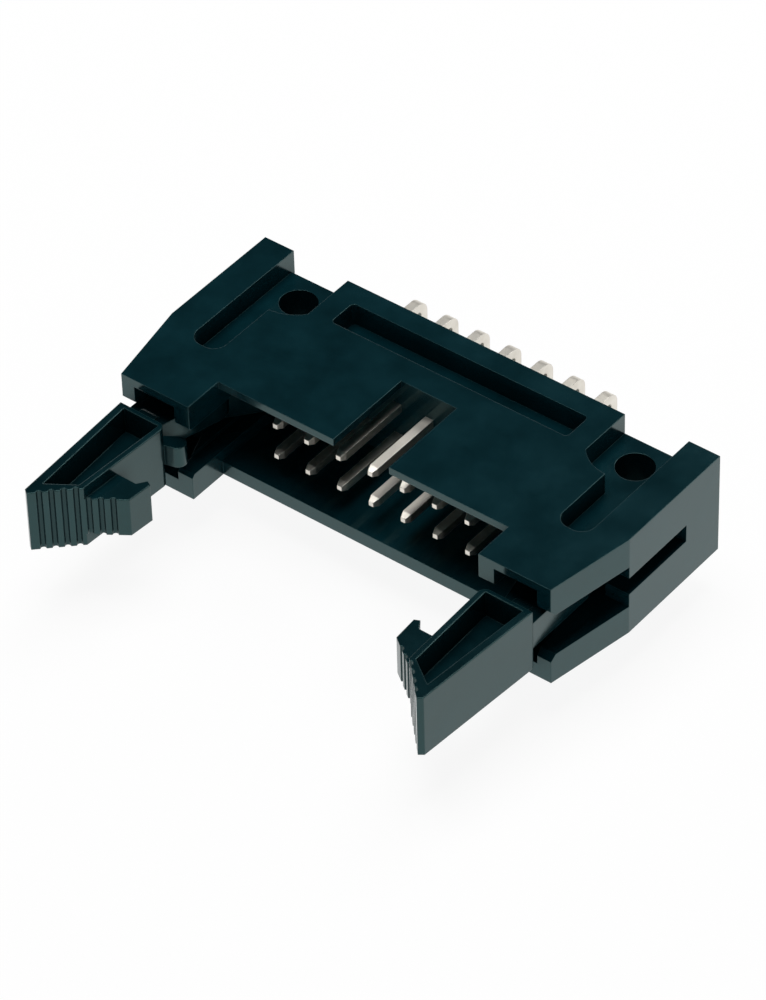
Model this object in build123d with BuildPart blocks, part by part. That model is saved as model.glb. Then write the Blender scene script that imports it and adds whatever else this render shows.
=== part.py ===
from build123d import *
import os

os.makedirs("parts", exist_ok=True)

# Frame: millimetres, +Z up off the board, +Y towards the soldered tails, mating side at -Y.
# The origin is midway between the two mounting holes on the underside of the housing.

# Contact grid
pitch = 2.54
columns = 7
pitch_across = 2.54
row_mid_height = 4.22
pin_size = 0.64
tip_behind_mouth = 0.8
tip_length = 0.45
tip_flat = 0.34
tail_below_seat = 3.0
tail_tip_length = 0.45
bend_inner_radius = 0.25
bend_start_gap = 0.03

# Housing block
body_height = 7.8
block_back_y = 2.18
strip_back_step = 0.3
floor_wall = 1.05
roof_wall = 0.55

# Mating cavity
cavity_end_gap = 3.83
mouth_y = -10.55
cavity_depth = 6.93
key_width = 4.4

# Ears, measured outwards from the end of the cavity
ear_front_length = 3.03
inner_rib = 1.18
guide_width = 3.27
outer_wall_front = 1.04
ear_flare = 1.18
ear_flare_length = 6.5

# Mounting hole and the recess round it in the top of each ear
mount_offset = 1.98
mount_diameter = 2.6
screw_head_clear = 6.2
recess_depth = 1.6
recess_inner_offset = 1.9
recess_outer_offset = 4.29
recess_front_y = -8.4
recess_corner = 1.0
block_end_set_in = 0.41

# Long pockets in the back of the block, above and below
pocket_half = 9.37
pocket_back_wall = 1.59
pocket_width = 2.28
pocket_corner = 0.3
top_pocket_depth = 1.7
underside_pocket_depth = 1.4

# Latch slot in each ear
window_above = 1.6
window_below = 1.7
toe_opening_height = 3.8
chamber_behind_pivot = 4.65
chamber_side_wall = 1.82
slit_height = 1.35
slit_length = 6.03
slit_depth = 2.17
guide_floor = 1.1
guide_roof = 0.6
guide_straight = 1.38
guide_lead = 0.45
guide_lead_length = 0.4

# Latch pivot
pivot_offset = 2.9
pivot_behind_mouth = 1.5
trunnion_diameter = 2.0
trunnion_clearance = 0.05
trunnion_end_gap = 0.25
seat_throat = 1.76
throat_length = 0.9

# How far each latch stands swung outwards, in degrees
right_swing = -0.6
left_swing = 0.9

# Latch lever, plan positions from the pivot of the right-hand one
lever_height = 4.75
lever_rear = -5.4
lever_rear_outer = 1.95
lever_rear_inner = -1.85
lever_rear_corner = 0.55
tip_outer_x = 1.29
tip_outer_y = -15.3
tip_nose_x = 0.95
tip_nose_y = -15.55
tip_inner_x = -1.55
tip_inner_y = -13.05
outer_wall = 0.55
inner_wall = 0.42
rear_wall = 0.3
grip_wall = 0.55
web_thickness = 0.8

# Hook that holds the mated socket
hook_height = 2.97
hook_nose_x = -3.87
hook_nose_y = -11.4
hook_inner_x = -4.0
hook_inner_y = -9.53
barb_x = -3.63
barb_y = -9.35
barb_root_x = -3.2
barb_root_y = -9.98

# Ribs across the grip and the hook
rib_pitch = 0.77
groove_radius = 0.2
groove_depth = 0.18
grip_groove_count = 4
grip_first_groove = 0.78
hook_groove_count = 3
hook_first_groove = 0.3

# Neck, detent, heel, barrel and ejector toe
neck_height = 2.1
neck_raise = 0.35
neck_inner = -0.6
neck_outer = 1.93
barrel_radius = 1.9
detent_x = 0.45
detent_y = -4.55
detent_length = 1.3
detent_radius = 0.5
detent_height = 0.16
heel_x = -2.2
heel_y = -4.85
heel_radius = 0.6
heel_height = 1.6
heel_root_inner = -1.3
heel_root_outer = -0.4
toe_tip_x = -3.75
toe_tip_y = 4.2
toe_tip_radius = 0.6
toe_root_radius = 0.9
toe_height = 2.4

# Positions that follow from the sizes above
cavity_half = (columns - 1) / 2 * pitch + cavity_end_gap
cavity_back_y = mouth_y + cavity_depth
tip_y = mouth_y + tip_behind_mouth
roof_under_z = body_height - roof_wall
slot_mid_z = body_height / 2
ear_front_y = mouth_y - ear_front_length
ear_bend_y = ear_front_y + ear_flare_length
guide_inner_x = cavity_half + inner_rib
guide_outer_x = guide_inner_x + guide_width
ear_front_half = guide_outer_x + outer_wall_front
ear_half = ear_front_half + ear_flare
ear_back_y = block_back_y + strip_back_step
past_ear = ear_half + 2
mount_x = cavity_half + mount_offset
recess_inner_x = cavity_half + recess_inner_offset
recess_outer_x = cavity_half + recess_outer_offset
recess_floor_z = body_height - recess_depth
block_end_x = cavity_half - block_end_set_in
pivot_x = cavity_half + pivot_offset
pivot_y = mouth_y + pivot_behind_mouth
chamber_back_y = pivot_y + chamber_behind_pivot
slit_back_y = ear_bend_y + slit_length
window_bottom_z = slot_mid_z - window_below
window_top_z = slot_mid_z + window_above

# Housing
with BuildPart() as housing:
    # Block with a cheek standing forward at each end
    with BuildSketch(Plane.XY):
        with BuildLine():
            Polyline(
                (0, mouth_y),
                (cavity_half, mouth_y),
                (cavity_half, ear_front_y),
                (ear_front_half, ear_front_y),
                (ear_half, ear_bend_y),
                (ear_half, ear_back_y),
                (recess_outer_x, ear_back_y),
                (recess_outer_x, block_back_y),
                (0, block_back_y),
                close=True,
            )
        make_face()
        mirror(about=Plane.YZ)
    extrude(amount=body_height)

    # Mating cavity, open at the front
    with BuildSketch(Plane.XY.offset(floor_wall)):
        with Locations((0, mouth_y)):
            Rectangle(2 * cavity_half, cavity_depth, align=(Align.CENTER, Align.MIN))
    extrude(amount=roof_under_z - floor_wall, mode=Mode.SUBTRACT)

    # Polarising key slot through the roof
    with BuildSketch(Plane.XY.offset(roof_under_z)):
        with Locations((0, mouth_y)):
            Rectangle(key_width, cavity_depth, align=(Align.CENTER, Align.MIN))
    extrude(amount=roof_wall, mode=Mode.SUBTRACT)

    # Recess in the top of each ear, open at the back, rounded where the screw head goes
    with BuildSketch(Plane.XY.offset(recess_floor_z)) as recesses:
        with BuildLine():
            Polyline(
                (recess_inner_x, recess_front_y),
                (recess_outer_x, recess_front_y),
                (recess_outer_x, ear_back_y),
                (block_end_x, ear_back_y),
                (block_end_x, 0),
                (recess_inner_x, 0),
                close=True,
            )
        make_face()
        fillet(recesses.vertices().sort_by(Axis.Y)[:2], recess_corner)
        with Locations((mount_x, 0)):
            Circle(screw_head_clear / 2)
        with Locations((block_end_x, 0)):
            Rectangle(mount_x, 2 * screw_head_clear, align=(Align.MAX, Align.CENTER), mode=Mode.SUBTRACT)
        with Locations((recess_outer_x, 0)):
            Rectangle(mount_x, 2 * screw_head_clear, align=(Align.MIN, Align.CENTER), mode=Mode.SUBTRACT)
        mirror(about=Plane.YZ)
    extrude(amount=recess_depth, mode=Mode.SUBTRACT)

    # Mounting holes
    with Locations((-mount_x, 0, recess_floor_z), (mount_x, 0, recess_floor_z)):
        Hole(mount_diameter / 2, depth=recess_floor_z)

    # Long pockets that keep the back of the block even in thickness
    for base_z, depth in ((body_height - top_pocket_depth, top_pocket_depth), (0, underside_pocket_depth)):
        with BuildSketch(Plane.XY.offset(base_z)):
            with Locations((0, block_back_y - pocket_back_wall - pocket_width / 2)):
                RectangleRounded(2 * pocket_half, pocket_width, pocket_corner)
        extrude(amount=depth, mode=Mode.SUBTRACT)

    # Window for the latch, out through each ear's end face, with a chamber behind it
    with BuildSketch(Plane.XY.offset(window_bottom_z)):
        with Locations((guide_inner_x, ear_front_y)):
            Rectangle(past_ear - guide_inner_x, ear_flare_length, align=(Align.MIN, Align.MIN))
        with Locations((guide_inner_x, chamber_back_y)):
            Rectangle(
                ear_half - chamber_side_wall - guide_inner_x,
                chamber_back_y - ear_bend_y,
                align=(Align.MIN, Align.MAX),
            )
        mirror(about=Plane.YZ)
    extrude(amount=window_top_z - window_bottom_z, mode=Mode.SUBTRACT)

    # Opening from the slot into the cavity, for the ejector toe
    with BuildSketch(Plane.XY.offset(slot_mid_z - toe_opening_height / 2)):
        with Locations((cavity_half, ear_front_y)):
            Rectangle(inner_rib, chamber_back_y - ear_front_y, align=(Align.MIN, Align.MIN))
        mirror(about=Plane.YZ)
    extrude(amount=toe_opening_height, mode=Mode.SUBTRACT)

    # Narrow slit that carries the window on towards the back
    with BuildSketch(Plane.XY.offset(slot_mid_z - slit_height / 2)):
        with Locations((ear_half - slit_depth, ear_bend_y)):
            Rectangle(slit_depth, slit_back_y - ear_bend_y, align=(Align.MIN, Align.MIN))
        mirror(about=Plane.YZ)
    extrude(amount=slit_height, mode=Mode.SUBTRACT)

    # Guide above and below the slot, narrowing to a throat with the trunnion seat behind it
    with BuildSketch(Plane.XY.offset(guide_floor)):
        with BuildLine():
            Polyline(
                (guide_inner_x, ear_front_y),
                (guide_outer_x, ear_front_y),
                (guide_outer_x, ear_front_y + guide_straight),
                (pivot_x + seat_throat / 2, pivot_y - throat_length),
                (pivot_x + seat_throat / 2, pivot_y),
                (pivot_x - seat_throat / 2, pivot_y),
                (pivot_x - seat_throat / 2, pivot_y - throat_length),
                (guide_inner_x, ear_front_y + guide_straight),
                close=True,
            )
        make_face()
        with Locations((pivot_x, pivot_y)):
            Circle(trunnion_diameter / 2 + trunnion_clearance)
        mirror(about=Plane.YZ)
    extrude(amount=body_height - guide_roof - guide_floor, mode=Mode.SUBTRACT)

    # Lead-in slopes on the front corners of the window, below and above
    with BuildSketch(Plane.YZ):
        with BuildLine():
            Polyline(
                (ear_front_y, window_bottom_z - guide_lead),
                (ear_front_y + guide_lead_length, window_bottom_z),
                (ear_front_y + guide_lead_length, window_top_z),
                (ear_front_y, window_top_z + guide_lead),
                close=True,
            )
        make_face()
    extrude(amount=past_ear, both=True, mode=Mode.SUBTRACT)

    # Square contact holes through the back wall
    with BuildSketch(Plane.XZ.offset(-cavity_back_y)):
        with Locations((0, row_mid_height)):
            with GridLocations(pitch, pitch_across, columns, 2):
                Rectangle(pin_size, pin_size)
    extrude(amount=cavity_back_y - block_back_y, mode=Mode.SUBTRACT)

housing.part.label = "housing"
export_step(housing.part, "parts/housing.step")

# Latch, drawn right-handed with its pivot on the Z axis
lever_bottom_z = slot_mid_z - lever_height / 2
neck_bottom_z = slot_mid_z + neck_raise - neck_height / 2
neck_top_z = neck_bottom_z + neck_height
grip_line = Line((tip_nose_x, tip_nose_y), (tip_inner_x, tip_inner_y))
hook_line = Line((tip_inner_x, tip_inner_y), (hook_nose_x, hook_nose_y))
groove_centre_out = groove_radius - groove_depth
rear_wall_mid_y = lever_rear - rear_wall / 2

with BuildPart() as latch:
    # Tapered lever with a blunt tip
    with BuildSketch(Plane.XY.offset(lever_bottom_z)) as lever_plan:
        with BuildLine():
            Polyline(
                (lever_rear_outer, lever_rear),
                (tip_outer_x, tip_outer_y),
                (tip_nose_x, tip_nose_y),
                (tip_inner_x, tip_inner_y),
                (lever_rear_inner, lever_rear),
                close=True,
            )
        make_face()
        fillet(lever_plan.vertices().sort_by(Axis.X)[0], lever_rear_corner)
    extrude(amount=lever_height)

    # Hook block standing inwards at mid height
    with BuildSketch(Plane.XY.offset(slot_mid_z - hook_height / 2)):
        with BuildLine():
            Polyline(
                (tip_inner_x, tip_inner_y),
                (hook_nose_x, hook_nose_y),
                (hook_inner_x, hook_inner_y),
                (barb_x, barb_y),
                (barb_root_x, barb_root_y),
                (tip_inner_x + inner_wall / 2, barb_root_y),
                (tip_inner_x + inner_wall / 2, tip_inner_y),
                close=True,
            )
        make_face()
    extrude(amount=hook_height)

    # Open pockets from above and below, leaving a middle web
    for base_z in (lever_bottom_z, slot_mid_z + web_thickness / 2):
        with BuildSketch(Plane.XY.offset(base_z)):
            with BuildLine():
                Polyline(
                    (lever_rear_outer - outer_wall, lever_rear - rear_wall),
                    (tip_outer_x - outer_wall, tip_outer_y + grip_wall + outer_wall),
                    (tip_inner_x + inner_wall, tip_inner_y + grip_wall - inner_wall),
                    (lever_rear_inner + inner_wall, lever_rear - rear_wall),
                    close=True,
                )
            make_face()
        extrude(amount=(lever_height - web_thickness) / 2, mode=Mode.SUBTRACT)

    # Neck and pivot barrel, a little above mid height
    with BuildSketch(Plane.XY.offset(neck_bottom_z)):
        with BuildLine():
            Polyline(
                (neck_inner, rear_wall_mid_y),
                (neck_outer, rear_wall_mid_y),
                (barrel_radius, 0),
                (-barrel_radius, 0),
                close=True,
            )
        make_face()
        Circle(barrel_radius)
    extrude(amount=neck_height)

    # Rounded heel inwards of the neck
    with BuildSketch(Plane.XY.offset(slot_mid_z - heel_height / 2)):
        with Locations((heel_x, heel_y)):
            Circle(heel_radius)
        with Locations((heel_root_inner, rear_wall_mid_y), (heel_root_outer, rear_wall_mid_y)):
            Circle(rear_wall / 2)
        make_hull()
    extrude(amount=heel_height)

    # Ejector toe reaching into the mating cavity
    with BuildSketch(Plane.XY.offset(slot_mid_z - toe_height / 2)):
        Circle(toe_root_radius)
        with Locations((toe_tip_x, toe_tip_y)):
            Circle(toe_tip_radius)
        make_hull()
    extrude(amount=toe_height)

    # Low rounded detents across the top and the bottom of the neck
    with Locations(
        (detent_x, detent_y, neck_top_z + detent_height - detent_radius),
        (detent_x, detent_y, neck_bottom_z - detent_height + detent_radius),
    ):
        Cylinder(detent_radius, detent_length, rotation=(0, 90, 0))

    # Trunnions above and below the barrel
    with Locations((0, 0, guide_floor + trunnion_end_gap)):
        Cylinder(
            trunnion_diameter / 2,
            body_height - guide_roof - guide_floor - 2 * trunnion_end_gap,
            align=(Align.CENTER, Align.CENTER, Align.MIN),
        )

    # Ribs: shallow round grooves across the grip and the hook's front
    with BuildSketch(Plane.XY.offset(lever_bottom_z)):
        for line, first, count in (
            (grip_line, grip_first_groove, grip_groove_count),
            (hook_line, hook_first_groove, hook_groove_count),
        ):
            for i in range(count):
                on_face = line.position_at((first + i * rib_pitch) / line.length)
                outwards = (line % 0).rotate(Axis.Z, 90)
                with Locations(on_face + outwards * groove_centre_out):
                    Circle(groove_radius)
    extrude(amount=lever_height, mode=Mode.SUBTRACT)

# Right-hand latch in its ear
with BuildPart() as latch_right:
    with Locations(Location((pivot_x, pivot_y, 0), (0, 0, right_swing))):
        add(latch.part)

latch_right.part.label = "latch_right"
export_step(latch_right.part, "parts/latch_right.step")

# Left-hand latch, the mirror image
with BuildPart() as latch_left:
    with Locations(Location((-pivot_x, pivot_y, 0), (0, 0, -left_swing))):
        add(latch.part.mirror(Plane.YZ))

latch_left.part.label = "latch_left"
export_step(latch_left.part, "parts/latch_left.step")

# Contacts: square wire with coined tips, bent down through the board behind the housing
bend_radius = bend_inner_radius + pin_size / 2
lower_tail_y = block_back_y + bend_start_gap + bend_radius
tip_draw_in = (pin_size - tip_flat) / 2

for row, row_name in ((0, "lower"), (1, "upper")):
    wire_z = row_mid_height + (row - 0.5) * pitch_across
    tail_y = lower_tail_y + row * pitch_across
    for column in range(columns):
        wire_x = (column - (columns - 1) / 2) * pitch
        with BuildPart() as contact:
            with BuildLine():
                FilletPolyline(
                    (wire_x, tip_y, wire_z),
                    (wire_x, tail_y, wire_z),
                    (wire_x, tail_y, -tail_below_seat),
                    radius=bend_radius,
                )
            with BuildSketch(Plane(origin=(wire_x, tip_y, wire_z), x_dir=(1, 0, 0), z_dir=(0, 1, 0))):
                Rectangle(pin_size, pin_size)
            sweep()
            mating_end = contact.faces().sort_by(Axis.Y)[0]
            chamfer(mating_end.edges(), tip_draw_in, tip_length, reference=mating_end)
            tail_end = contact.faces().sort_by(Axis.Z)[0]
            chamfer(tail_end.edges(), tip_draw_in, tail_tip_length, reference=tail_end)
        contact.part.label = "contact_" + row_name + "_" + str(column + 1)
        export_step(contact.part, "parts/contact_" + row_name + "_" + str(column + 1) + ".step")
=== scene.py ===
import math

import bpy
from mathutils import Matrix, Vector

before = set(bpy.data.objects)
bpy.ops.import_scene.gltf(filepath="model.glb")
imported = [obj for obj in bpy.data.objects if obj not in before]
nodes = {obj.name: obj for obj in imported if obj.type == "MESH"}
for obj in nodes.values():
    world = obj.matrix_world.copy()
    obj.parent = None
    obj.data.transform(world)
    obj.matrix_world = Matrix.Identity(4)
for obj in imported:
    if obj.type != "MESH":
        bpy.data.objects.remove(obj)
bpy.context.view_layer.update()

scene = bpy.context.scene


# Housing: one injection moulding of black glass-filled plastic, with the mating cavity,
# the key slot, two ears and a long cored-out pocket in its roof. The contacts are pressed
# into its back wall, and it stands on the board on its flat underside.

HOUSING_BLACK = (0.0014, 0.0190, 0.0255, 1)
# Paler colour on the rounded edges: a painted highlight, not wear
HOUSING_EDGE_PAINTED_HIGHLIGHT = (0.005, 0.027, 0.034, 1)
HOUSING_EDGE_RADIUS = 0.00006
HOUSING_SEED = 1

PLASTIC_IOR = 1.62
PLASTIC_SHINE_TINT = (0.50, 0.95, 0.93, 1)
SEED_SHIFT = (0.013, 0.007, 0.003)

FLOW_CLOUD_SIZE = 0.0035
FLOW_DETAIL = 4
FLOW_MIX = 0.6
FLOW_CONTRAST = (0.3, 0.7)
FLOW_TONE = (0.75, 1.3)
FLOW_ROUGHNESS = (0.12, 0.19)
FLOW_DEPTH = 0.00006
FLOW_STRENGTH = 0.25

GRAIN_SIZE = 0.00016
GRAIN_DETAIL = 3
GRAIN_DEPTH = 0.000006
GRAIN_STRENGTH = 0.12

EDGE_SAMPLES = 6
EDGE_TURN = (0.995, 0.75)
EDGE_ROUGHNESS = 0.5

# Painted shade: the shine is dimmed in grooves and corners by occlusion
HOLLOW_SAMPLES = 6
HOLLOW_REACH = 0.0018
HOLLOW_OPENNESS = (0.45, 0.90)
HOLLOW_SHINE = (0.10, 0.5)


def spread(tree, value, source, target):
    """Carry a value from the source range over to the target range."""
    node = tree.nodes.new("ShaderNodeMapRange")
    node.inputs["From Min"].default_value = source[0]
    node.inputs["From Max"].default_value = source[1]
    node.inputs["To Min"].default_value = target[0]
    node.inputs["To Max"].default_value = target[1]
    tree.links.new(value, node.inputs["Value"])
    return node.outputs["Result"]


def noise(tree, vector, scale, detail):
    """Clouded noise over the given coordinates."""
    node = tree.nodes.new("ShaderNodeTexNoise")
    node.inputs["Scale"].default_value = scale
    node.inputs["Detail"].default_value = detail
    tree.links.new(vector, node.inputs["Vector"])
    return node


def relief(tree, height, normal, strength, depth):
    """Shallow relief of the given depth, laid over a normal."""
    node = tree.nodes.new("ShaderNodeBump")
    node.inputs["Strength"].default_value = strength
    node.inputs["Distance"].default_value = depth
    tree.links.new(height, node.inputs["Height"])
    tree.links.new(normal, node.inputs["Normal"])
    return node.outputs["Normal"]


def soft_edges(tree, radius):
    """The normal of faces whose edges are rounded to the given radius."""
    node = tree.nodes.new("ShaderNodeBevel")
    node.samples = EDGE_SAMPLES
    node.inputs["Radius"].default_value = radius
    return node.outputs["Normal"]


def moulded_plastic(name, body_colour, edge_highlight_colour, edge_radius, seed):
    """Gloss plastic with flow clouds, a fine tool grain, rougher edges with a painted
    highlight, and painted shade dulling the shine in hollows.
    """
    plastic = bpy.data.materials.new(name)
    plastic.use_nodes = True
    tree = plastic.node_tree
    link = tree.links.new
    shader = tree.nodes["Principled BSDF"]
    shader.inputs["IOR"].default_value = PLASTIC_IOR
    shader.inputs["Specular Tint"].default_value = PLASTIC_SHINE_TINT

    place = tree.nodes.new("ShaderNodeTexCoord")
    shift = tree.nodes.new("ShaderNodeMapping")
    shift.inputs["Location"].default_value = [seed * step for step in SEED_SHIFT]
    link(place.outputs["Object"], shift.inputs["Vector"])

    # Broad clouds where the melt flowed and cooled
    flow = noise(tree, shift.outputs["Vector"], 1 / FLOW_CLOUD_SIZE, FLOW_DETAIL)
    flow.inputs["Roughness"].default_value = FLOW_MIX

    # The fine grain that the tool's surface leaves
    grain = noise(tree, shift.outputs["Vector"], 1 / GRAIN_SIZE, GRAIN_DETAIL)

    # Rounded edges, and how far each point is turned away from its own face there
    edge_normal = soft_edges(tree, edge_radius)
    true_face = tree.nodes.new("ShaderNodeNewGeometry")
    same_way = tree.nodes.new("ShaderNodeVectorMath")
    same_way.operation = "DOT_PRODUCT"
    link(edge_normal, same_way.inputs[0])
    link(true_face.outputs["True Normal"], same_way.inputs[1])
    on_edge = spread(tree, same_way.outputs["Value"], EDGE_TURN, (0, 1))

    # The body's colour, clouded, with a painted highlight: a paler colour on the rounded
    # edges
    tint = tree.nodes.new("ShaderNodeVectorMath")
    tint.operation = "SCALE"
    tint.inputs[0].default_value = body_colour[:3]
    link(spread(tree, flow.outputs["Fac"], FLOW_CONTRAST, FLOW_TONE), tint.inputs["Scale"])
    colour = tree.nodes.new("ShaderNodeMix")
    colour.data_type = "RGBA"
    colour.inputs["B"].default_value = edge_highlight_colour
    link(on_edge, colour.inputs["Factor"])
    link(tint.outputs["Vector"], colour.inputs["A"])
    link(colour.outputs["Result"], shader.inputs["Base Color"])

    # Gloss that varies with the clouds and is scuffed away on the edges
    gloss = spread(tree, flow.outputs["Fac"], FLOW_CONTRAST, FLOW_ROUGHNESS)
    scuffed = tree.nodes.new("ShaderNodeMix")
    scuffed.inputs["B"].default_value = EDGE_ROUGHNESS
    link(on_edge, scuffed.inputs["Factor"])
    link(gloss, scuffed.inputs["A"])
    link(scuffed.outputs["Result"], shader.inputs["Roughness"])

    # Painted shade: grooves and tight corners lose most of their shine, by how enclosed
    # they are
    hollow_shade = tree.nodes.new("ShaderNodeAmbientOcclusion")
    hollow_shade.samples = HOLLOW_SAMPLES
    hollow_shade.inputs["Distance"].default_value = HOLLOW_REACH
    shade_dimmed_shine = spread(tree, hollow_shade.outputs["AO"], HOLLOW_OPENNESS, HOLLOW_SHINE)
    link(shade_dimmed_shine, shader.inputs["Specular IOR Level"])

    # Slight sinks where the clouds are, and the grain on top of them
    sunk = relief(tree, flow.outputs["Fac"], edge_normal, FLOW_STRENGTH, FLOW_DEPTH)
    pitted = relief(tree, grain.outputs["Fac"], sunk, GRAIN_STRENGTH, GRAIN_DEPTH)
    link(pitted, shader.inputs["Normal"])
    return plastic


housing_plastic = moulded_plastic(
    "housing_plastic", HOUSING_BLACK, HOUSING_EDGE_PAINTED_HIGHLIGHT, HOUSING_EDGE_RADIUS, HOUSING_SEED
)
nodes["housing"].data.materials.clear()
nodes["housing"].data.materials.append(housing_plastic)


# Contacts: two rows of square drawn wire with a bright tin plate, coined to a blunt
# point at each end. They are pressed through the back wall and bent down to the board.

TIN_BRIGHT = (0.88, 0.85, 0.78, 1)
TIN_DULL = (0.72, 0.68, 0.60, 1)
TIN_CONTRAST = (0.3, 0.7)
TIN_ROUGHNESS = (0.45, 0.36)
DULL_SPOT_SIZE = 0.0009
DULL_SPOT_DETAIL = 4
DRAW_LINE_WIDTH = 0.00006
DRAW_LINE_LENGTH = 0.0025
DRAW_LINE_DETAIL = 3
DRAW_LINE_STRENGTH = 0.2
DRAW_LINE_DEPTH = 0.000004
WIRE_EDGE_RADIUS = 0.00006

contact_tin = bpy.data.materials.new("contact_tin")
contact_tin.use_nodes = True
tin_tree = contact_tin.node_tree
tin_link = tin_tree.links.new
tin_shader = tin_tree.nodes["Principled BSDF"]
tin_shader.inputs["Metallic"].default_value = 1.0

# Fine lines along the wire from the drawing die, and broader dull spots in the plate
tin_place = tin_tree.nodes.new("ShaderNodeTexCoord")
tin_stretch = tin_tree.nodes.new("ShaderNodeMapping")
tin_stretch.inputs["Scale"].default_value = (
    1 / DRAW_LINE_WIDTH,
    1 / DRAW_LINE_LENGTH,
    1 / DRAW_LINE_WIDTH,
)
tin_link(tin_place.outputs["Object"], tin_stretch.inputs["Vector"])
draw_lines = noise(tin_tree, tin_stretch.outputs["Vector"], 1, DRAW_LINE_DETAIL)
dull_spots = noise(
    tin_tree, tin_place.outputs["Object"], 1 / DULL_SPOT_SIZE, DULL_SPOT_DETAIL
)

tin_colour = tin_tree.nodes.new("ShaderNodeMix")
tin_colour.data_type = "RGBA"
tin_colour.inputs["A"].default_value = TIN_DULL
tin_colour.inputs["B"].default_value = TIN_BRIGHT
tin_link(dull_spots.outputs["Fac"], tin_colour.inputs["Factor"])
tin_link(tin_colour.outputs["Result"], tin_shader.inputs["Base Color"])

tin_gloss = spread(tin_tree, dull_spots.outputs["Fac"], TIN_CONTRAST, TIN_ROUGHNESS)
tin_link(tin_gloss, tin_shader.inputs["Roughness"])

tin_lined = relief(
    tin_tree,
    draw_lines.outputs["Fac"],
    soft_edges(tin_tree, WIRE_EDGE_RADIUS),
    DRAW_LINE_STRENGTH,
    DRAW_LINE_DEPTH,
)
tin_link(tin_lined, tin_shader.inputs["Normal"])

for name, node in nodes.items():
    if name.startswith("contact_"):
        node.data.materials.clear()
        node.data.materials.append(contact_tin)


# Ejector latches: two mirrored mouldings in the same black plastic. Each sits in its ear
# on two trunnions; its ribbed lever is pushed outwards and its toe pushes the socket out.

LATCH_BLACK = (0.0014, 0.0150, 0.0195, 1)
# Paler colour on the rounded edges: a painted highlight, not wear
LATCH_EDGE_PAINTED_HIGHLIGHT = (0.010, 0.030, 0.034, 1)
LATCH_EDGE_RADIUS = 0.00012
LATCH_SEEDS = {"latch_left": 2, "latch_right": 3}

for name, seed in LATCH_SEEDS.items():
    latch_plastic = moulded_plastic(
        name + "_plastic", LATCH_BLACK, LATCH_EDGE_PAINTED_HIGHLIGHT, LATCH_EDGE_RADIUS, seed
    )
    nodes[name].data.materials.clear()
    nodes[name].data.materials.append(latch_plastic)


# Studio: a white table under the header, a broad soft lamp overhead, a weaker one high
# behind and a pale horizon. The table lies just under the tips of the tails.

TABLE_Z = -0.0031
TABLE_REACH = 1.5
TABLE_WHITE = (0.92, 0.94, 0.94, 1)
TABLE_PALE_SHADOW = (0.10, 0.10, 0.10, 1)
TABLE_GLOW = 0.91
TABLE_GLOW_COLOUR = (1, 1, 1, 1)
PAPER_ROUGHNESS = 0.9
PAPER_SHINE = 0.1

table_mesh = bpy.data.meshes.new("table")
table_corners = [
    (-TABLE_REACH, -TABLE_REACH, TABLE_Z),
    (TABLE_REACH, -TABLE_REACH, TABLE_Z),
    (TABLE_REACH, TABLE_REACH, TABLE_Z),
    (-TABLE_REACH, TABLE_REACH, TABLE_Z),
]
table_mesh.from_pydata(table_corners, [], [(0, 1, 2, 3)])
table = bpy.data.objects.new("table", table_mesh)
scene.collection.objects.link(table)

table_paper = bpy.data.materials.new("table_paper")
table_paper.use_nodes = True
paper_tree = table_paper.node_tree
paper_link = paper_tree.links.new
paper_shader = paper_tree.nodes["Principled BSDF"]
paper_shader.inputs["Roughness"].default_value = PAPER_ROUGHNESS
paper_shader.inputs["Specular IOR Level"].default_value = PAPER_SHINE
paper_shader.inputs["Emission Color"].default_value = TABLE_GLOW_COLOUR

# Seen directly or mirrored in the header, the paper glows white under a pale shadow;
# to the light that falls on the header it is plain white paper.
paper_path = paper_tree.nodes.new("ShaderNodeLightPath")
paper_seen = paper_tree.nodes.new("ShaderNodeMath")
paper_seen.operation = "ADD"
paper_link(paper_path.outputs["Is Camera Ray"], paper_seen.inputs[0])
paper_link(paper_path.outputs["Is Glossy Ray"], paper_seen.inputs[1])
paper_seen_all = paper_tree.nodes.new("ShaderNodeMath")
paper_seen_all.operation = "ADD"
paper_seen_all.use_clamp = True
paper_link(paper_seen.outputs["Value"], paper_seen_all.inputs[0])
paper_link(paper_path.outputs["Is Transmission Ray"], paper_seen_all.inputs[1])

paper_tone = paper_tree.nodes.new("ShaderNodeMix")
paper_tone.data_type = "RGBA"
paper_tone.inputs["A"].default_value = TABLE_WHITE
paper_tone.inputs["B"].default_value = TABLE_PALE_SHADOW
paper_link(paper_seen_all.outputs["Value"], paper_tone.inputs["Factor"])
paper_link(paper_tone.outputs["Result"], paper_shader.inputs["Base Color"])
paper_glow = paper_tree.nodes.new("ShaderNodeMath")
paper_glow.operation = "MULTIPLY"
paper_glow.inputs[1].default_value = TABLE_GLOW
paper_link(paper_seen_all.outputs["Value"], paper_glow.inputs[0])
paper_link(paper_glow.outputs["Value"], paper_shader.inputs["Emission Strength"])
table_mesh.materials.append(table_paper)

HORIZON = (0.92, 0.92, 0.92, 1)
HORIZON_HEIGHT = 0.10
OVERHEAD = (0.025, 0.025, 0.025, 1)
OVERHEAD_HEIGHT = 0.40

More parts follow.
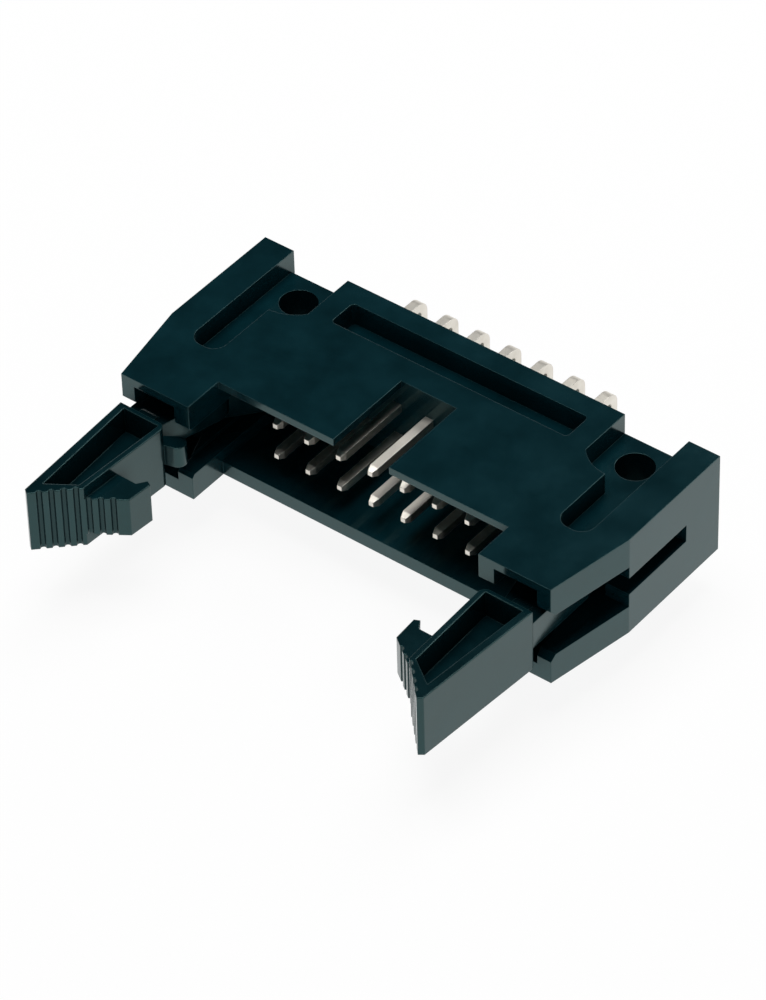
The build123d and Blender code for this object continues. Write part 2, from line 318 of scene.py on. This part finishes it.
surroundings = bpy.data.worlds.new("surroundings")
surroundings.use_nodes = True
scene.world = surroundings
sky_tree = surroundings.node_tree
sky = sky_tree.nodes["Background"]
sky_place = sky_tree.nodes.new("ShaderNodeTexCoord")
sky_split = sky_tree.nodes.new("ShaderNodeSeparateXYZ")
sky_tree.links.new(sky_place.outputs["Generated"], sky_split.inputs["Vector"])
sky_fade = sky_tree.nodes.new("ShaderNodeValToRGB")
sky_fade.color_ramp.elements[0].position = HORIZON_HEIGHT
sky_fade.color_ramp.elements[0].color = HORIZON
sky_fade.color_ramp.elements[1].position = OVERHEAD_HEIGHT
sky_fade.color_ramp.elements[1].color = OVERHEAD
sky_tree.links.new(sky_split.outputs["Z"], sky_fade.inputs["Fac"])
sky_tree.links.new(sky_fade.outputs["Color"], sky.inputs["Color"])

# Each lamp by its place, width and power; both face the header
LAMPS = {
    "overhead_lamp": ((-0.05, 0.0, 0.56), 0.40, 2.1),
    "back_lamp": ((-0.044, 0.329, 0.439), 0.25, 0.60),
}

for name, (place, width, power) in LAMPS.items():
    lamp = bpy.data.lights.new(name, "AREA")
    lamp.shape = "DISK"
    lamp.size = width
    lamp.energy = power
    stand = bpy.data.objects.new(name, lamp)
    stand.location = place
    stand.rotation_euler = (-Vector(place)).to_track_quat("-Z", "Y").to_euler()
    scene.collection.objects.link(stand)


# Camera: the photograph's place and frame, looking down on the mating side from the right.

CAMERA_PLACE = Vector((0.162128, -0.208369, 0.234294))
CAMERA_AZIMUTH = math.radians(39.0515)
CAMERA_ELEVATION = math.radians(42.0208)
CAMERA_ROLL = math.radians(-1.7558)
CAMERA_LENS = 197.615
CAMERA_FILM_WIDTH = 36
CAMERA_NEAR = 0.02

camera_data = bpy.data.cameras.new("camera")
camera_data.lens = CAMERA_LENS
camera_data.sensor_width = CAMERA_FILM_WIDTH
camera_data.sensor_fit = "AUTO"
camera_data.clip_start = CAMERA_NEAR
camera = bpy.data.objects.new("camera", camera_data)
camera.matrix_world = (
    Matrix.Translation(CAMERA_PLACE)
    @ Matrix.Rotation(CAMERA_AZIMUTH, 4, "Z")
    @ Matrix.Rotation(math.pi / 2 - CAMERA_ELEVATION, 4, "X")
    @ Matrix.Rotation(CAMERA_ROLL, 4, "Z")
)
scene.collection.objects.link(camera)
scene.camera = camera
scene.view_settings.view_transform = "Standard"
